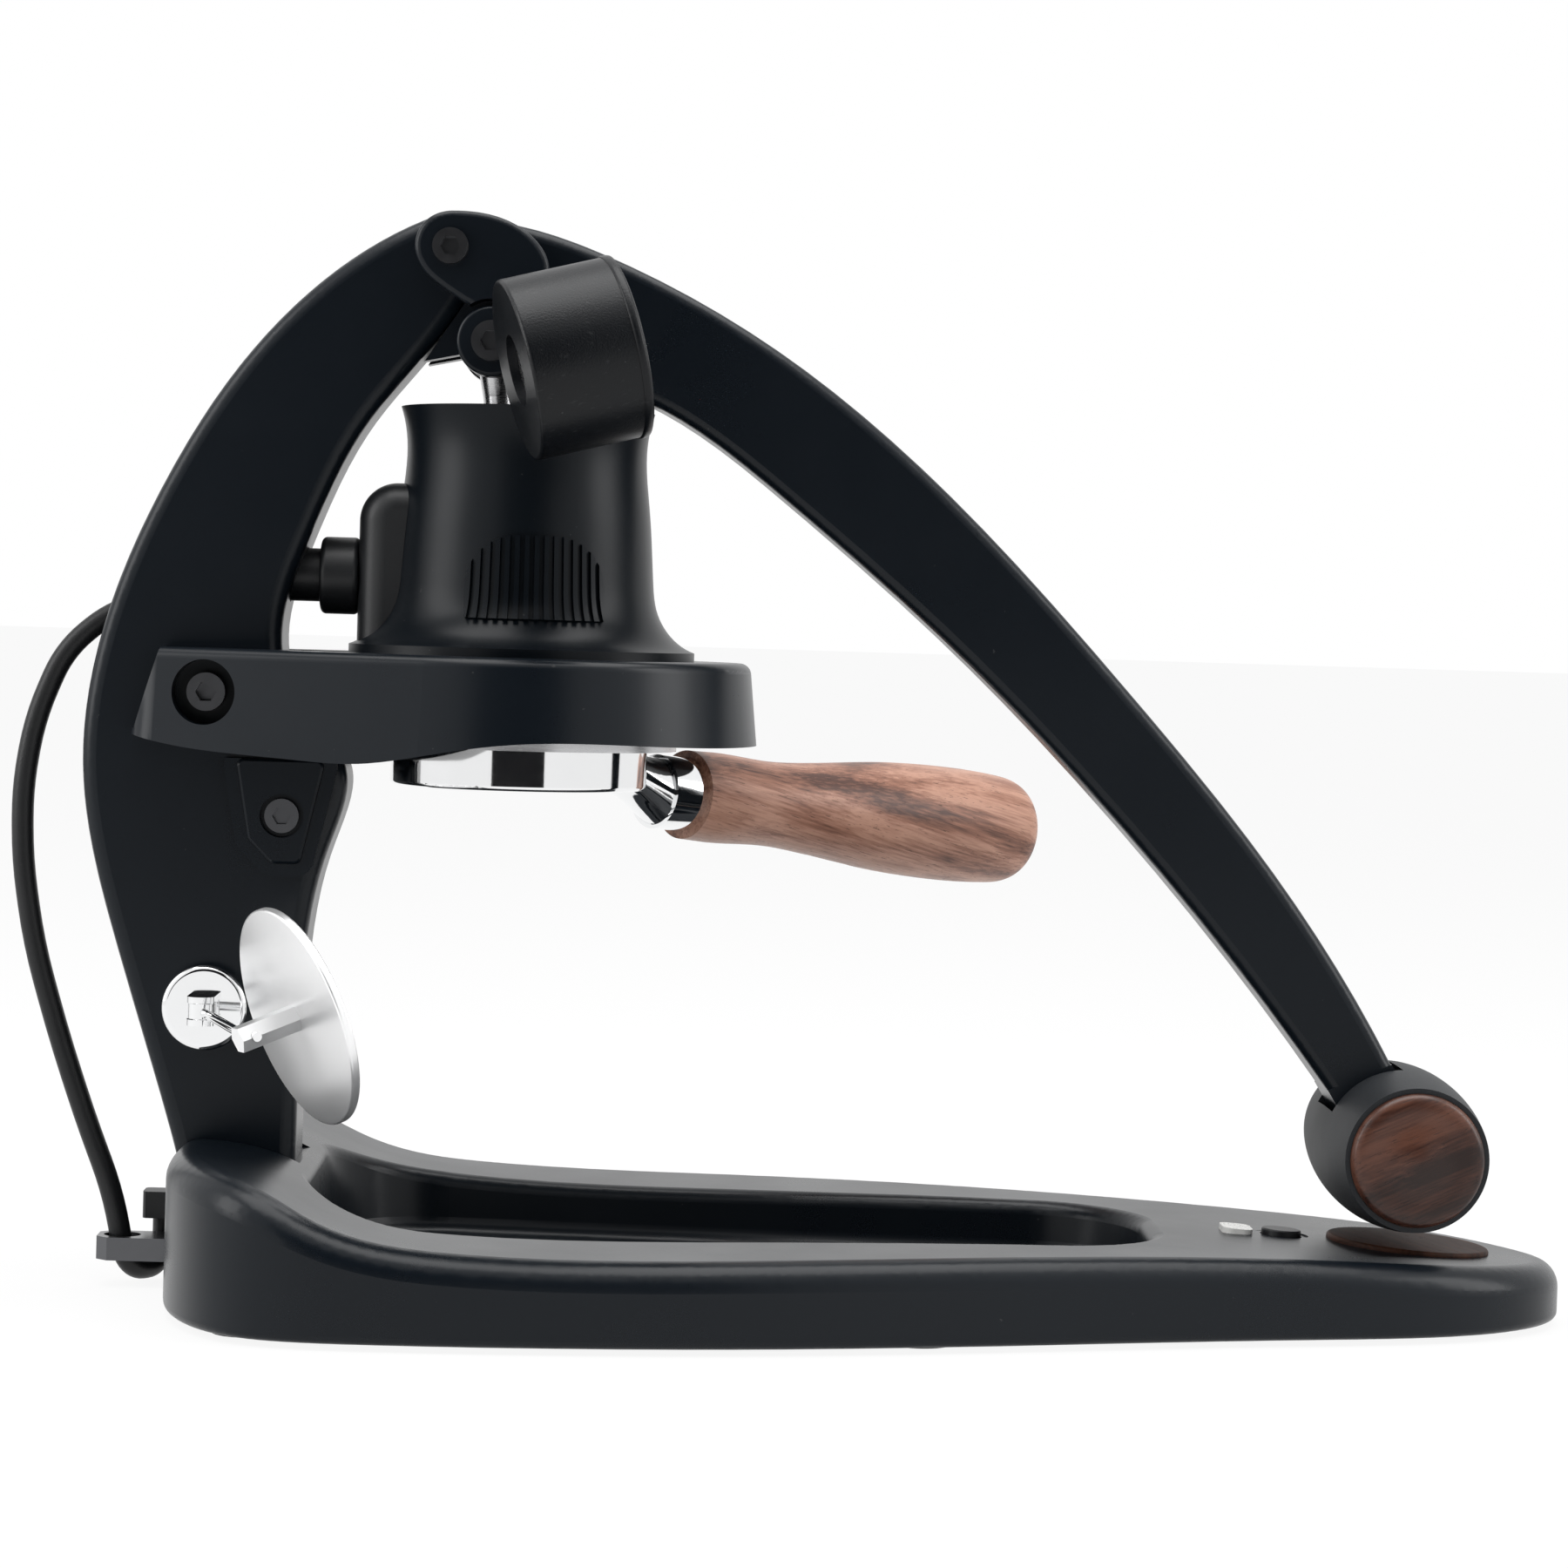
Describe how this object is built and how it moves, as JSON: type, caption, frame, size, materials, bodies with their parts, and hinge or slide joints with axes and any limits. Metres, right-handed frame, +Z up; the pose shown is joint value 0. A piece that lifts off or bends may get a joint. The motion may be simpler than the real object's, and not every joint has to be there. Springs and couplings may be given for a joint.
{
  "type": "lever espresso maker",
  "caption": "Hand-lever espresso press: curved lever on a post drives a piston in a heated group over a locking portafilter, with gauge, tilting mirror and a base with a cup tray.",
  "frame": {"origin": "on the table under the brew axis, at the middle foot", "axes": "+X from the post towards the grip of the lowered lever, +Y to the side the portafilter handle points to, +Z up along the brew axis"},
  "size_m": [0.409, 0.2231, 0.281],
  "materials": {
    "satin_black": "satin black coat over cast aluminium",
    "black_steel": "black-oxide steel, slightly worn",
    "chrome": "polished chrome plate",
    "stainless": "satin stainless steel",
    "bronze": "plain sintered bronze",
    "soft_rubber": "matt soft-touch rubber, a little dusty",
    "seal_rubber": "moulded silicone",
    "black_plastic": "fine moulded texture",
    "walnut": "oiled turned walnut",
    "dark_walnut": "oiled dark walnut",
    "white_plastic": "translucent white light guide",
    "board": "green circuit board",
    "glass": "clear lens",
    "mirror": "silvered glass",
    "dial_white": "printed dial",
    "needle_red": "painted pointer",
    "heater": "heating film with lacing",
    "cable_jacket": "satin cable jacket"
  },
  "bodies": {
    "frame": {"base": "satin_black", "base_feet": "soft_rubber", "bottom_cover": "black_plastic", "cover_screws": "black_steel", "control_board": "board", "indicator_window": "white_plastic", "badge_disc": "dark_walnut", "power_inlet": "black_plastic", "post": "satin_black", "post_bolts": "black_steel", "pivot_bushes": "bronze", "group_bracket": "satin_black", "bracket_screws": "black_steel", "clamp_plates": "satin_black", "clamp_screws": "black_steel", "bayonet_ring": "stainless", "ring_screws": "black_steel", "group_gasket": "seal_rubber", "brew_cylinder": "stainless", "shower_screen": "stainless", "heater_band": "heater", "brew_sleeve": "satin_black", "thumb_grips": "soft_rubber", "connector_boss": "black_plastic", "head_plug": "black_plastic", "cable": "cable_jacket", "cable_clip": "black_steel", "base_plug": "black_plastic"},
    "lever": {"lever_arm": "satin_black", "pivot_pin": "black_steel", "pivot_screws": "black_steel", "grip_core": "black_steel", "lever_grip": "soft_rubber", "grip_caps": "dark_walnut"},
    "plunger": {"yoke_cheek_near": "satin_black", "yoke_cheek_far": "satin_black", "yoke_pin": "black_steel", "yoke_screws": "black_steel", "plunger_stem": "stainless", "gauge_nipple": "black_steel", "gauge_boot": "soft_rubber", "gauge_case": "stainless", "gauge_movement": "stainless", "gauge_dial": "dial_white", "gauge_lens": "glass", "gauge_bezel": "chrome"},
    "needle": {"gauge_needle": "needle_red"},
    "piston": {"piston": "black_plastic", "piston_cap": "black_plastic", "piston_seals": "seal_rubber"},
    "portafilter": {"portafilter_body": "chrome", "filter_basket": "stainless", "basket_spring": "stainless", "portafilter_handle": "walnut", "handle_bolt": "black_steel"},
    "mirror_base": {"mirror_magnet": "chrome"},
    "mirror_arm": {"mirror_link": "chrome"},
    "mirror": {"mirror_disc": "chrome", "mirror_glass": "mirror"},
    "button": {"power_button": "black_plastic"}
  },
  "joints": [
    {"name": "lever_pivot", "type": "hinge", "parent": "frame", "child": "lever", "pos_m": [-0.0204, 0, 0.2713], "axis": [0, -1, 0], "range_deg": [0, 95]},
    {"name": "plunger_pivot", "type": "hinge", "parent": "lever", "child": "plunger", "pos_m": [-0.00929, 0, 0.24757], "axis": [0, -1, 0], "range_deg": [-105.45, 0]},
    {"name": "piston_slide", "type": "slide", "parent": "frame", "child": "piston", "axis": [0, 0, 1], "range_m": [0, 0.03467]},
    {"name": "needle_turn", "type": "hinge", "parent": "plunger", "child": "needle", "pos_m": [0.0123, -0.057, 0.2416], "axis": [-0.9495, -0.1846, -0.2538], "range_deg": [0, 270], "stiffness_Nm_per_rad": 0.0005},
    {"name": "portafilter_turn", "type": "hinge", "parent": "frame", "child": "portafilter", "pos_m": [0, 0, 0.145], "axis": [0, 0, 1], "range_deg": [-26, 4]},
    {"name": "mirror_swivel", "type": "hinge", "parent": "frame", "child": "mirror_base", "pos_m": [-0.0782, -0.02, 0.0746], "axis": [0, 1, 0], "range_deg": [-15, 12]},
    {"name": "mirror_swing", "type": "hinge", "parent": "mirror_base", "child": "mirror_arm", "pos_m": [-0.0782, -0.028, 0.0746], "axis": [0, 0, 1], "range_deg": [-40, 0]},
    {"name": "mirror_nod", "type": "hinge", "parent": "mirror_arm", "child": "mirror", "pos_m": [-0.0624, -0.06, 0.0718], "axis": [-0.4865, 0.8737, 0], "range_deg": [-6, 10]},
    {"name": "button_press", "type": "slide", "parent": "frame", "child": "button", "axis": [-0.0698, 0, -0.9976], "range_m": [0, 0.0012], "stiffness_N_per_m": 400}
  ],
  "couplings": [
    {"joint": "plunger_pivot", "follows": "lever_pivot", "ratio": -1.11},
    {"joint": "piston_slide", "follows": "lever_pivot", "m_per_rad": 0.020913}
  ]
}
